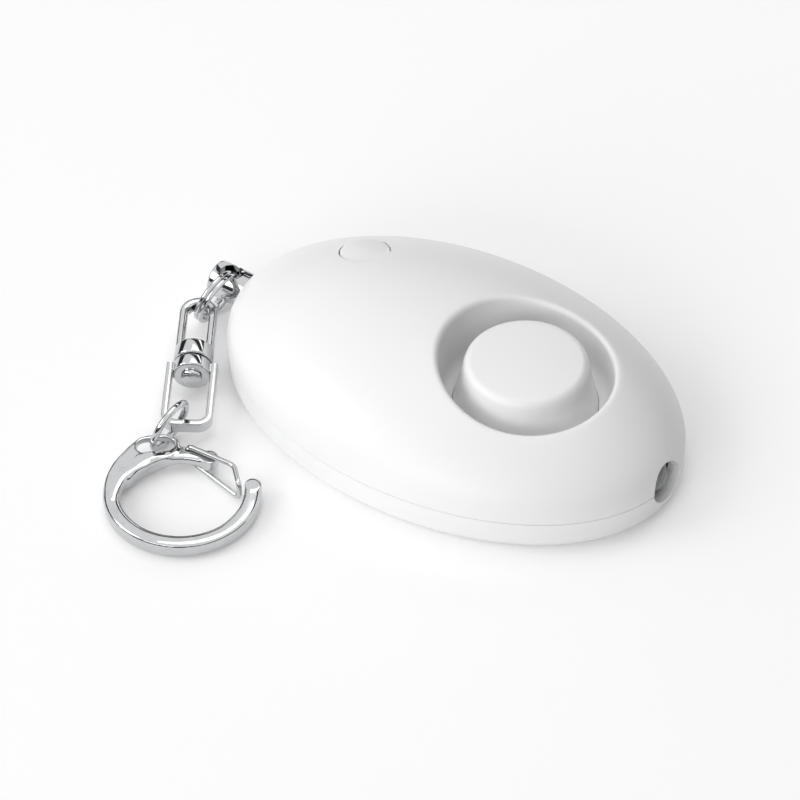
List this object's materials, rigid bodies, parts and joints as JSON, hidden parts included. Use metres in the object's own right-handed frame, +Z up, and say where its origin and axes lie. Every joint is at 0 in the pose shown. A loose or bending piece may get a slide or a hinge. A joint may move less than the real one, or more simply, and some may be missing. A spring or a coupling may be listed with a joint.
{
  "type": "personal safety alarm",
  "caption": "Egg-shaped pocket siren with a round sounder well, a torch at the nose, a torch button and a chrome pull pin on a key chain with a swivel snap hook",
  "frame": {"origin": "middle of the case's flat underside, on the table", "axes": "+X from the pull pin to the lamp, +Z up, +Y to the case's left seen along +X"},
  "size_m": [0.0703, 0.0647, 0.016],
  "materials": {
    "shell_white": "smooth, satin gloss white",
    "black_plastic": "matt black",
    "chrome": "bright plated",
    "steel": "plain steel",
    "brass": "thin sheet",
    "ceramic": "fired ceramic, off white",
    "board_green": "solder mask",
    "ferrite": "wound drum",
    "clear_lens": "clear moulded resin"
  },
  "bodies": {
    "case": {"top_shell": "shell_white", "base_shell": "shell_white", "siren_cap": "shell_white", "siren_spacer": "black_plastic", "sounder_disc": "brass", "sounder_ceramic": "ceramic", "lamp": "clear_lens", "lamp_leads": "steel", "torch_switch": "steel", "circuit_board": "board_green", "boost_coil": "ferrite", "control_chip": "black_plastic", "button_cells": "steel", "cell_contacts_lower": "brass", "cell_contacts_upper": "brass", "case_screws": "steel", "board_screws": "steel", "pin_socket": "black_plastic", "socket_contact": "brass"},
    "torch_button": {"torch_button": "shell_white", "switch_plunger": "black_plastic"},
    "pull_pin": {"pin_head": "chrome", "pin_shank": "steel"},
    "split_ring": {"split_ring": "chrome"},
    "swivel_top": {"swivel_loop": "chrome", "swivel_rivet": "chrome"},
    "swivel_bottom": {"swivel_stirrup": "chrome"},
    "jump_ring": {"jump_ring": "chrome"},
    "hook": {"hook_body": "chrome"},
    "gate": {"hook_gate": "chrome"}
  },
  "joints": [
    {"name": "torch_press", "type": "slide", "parent": "case", "child": "torch_button", "axis": [0, 0, -1], "range_m": [0, 0.0004]},
    {"name": "pin_pull", "type": "slide", "parent": "case", "child": "pull_pin", "axis": [-1, 0, 0], "range_m": [0, 0.03]},
    {"name": "split_ring_swing", "type": "hinge", "parent": "pull_pin", "child": "split_ring", "pos_m": [-0.03535, 0, 0.0039], "axis": [0, 0, 1], "range_deg": [-60, 3]},
    {"name": "loop_swing", "type": "hinge", "parent": "split_ring", "child": "swivel_top", "pos_m": [-0.0356, -0.00685, 0.0039], "axis": [0.2755, -0.0096, 0.9613], "range_deg": [-50, 5]},
    {"name": "swivel_spin", "type": "hinge", "parent": "swivel_top", "child": "swivel_bottom", "pos_m": [-0.03077, -0.01488, 0.00324], "axis": [0.5138, -0.8551, -0.0698], "continuous": true},
    {"name": "jump_ring_swing", "type": "hinge", "parent": "swivel_bottom", "child": "jump_ring", "pos_m": [-0.02664, -0.02468, 0.00251], "axis": [0, 0, 1], "range_deg": [-12, 12]},
    {"name": "hook_swing", "type": "hinge", "parent": "jump_ring", "child": "hook", "pos_m": [-0.02671, -0.02708, 0.0022], "axis": [0, 0, 1], "range_deg": [-25, 10]},
    {"name": "gate_open", "type": "hinge", "parent": "hook", "child": "gate", "pos_m": [-0.02269, -0.02705, 0.0022], "axis": [0, 0, 1], "range_deg": [-25, 0]}
  ]
}
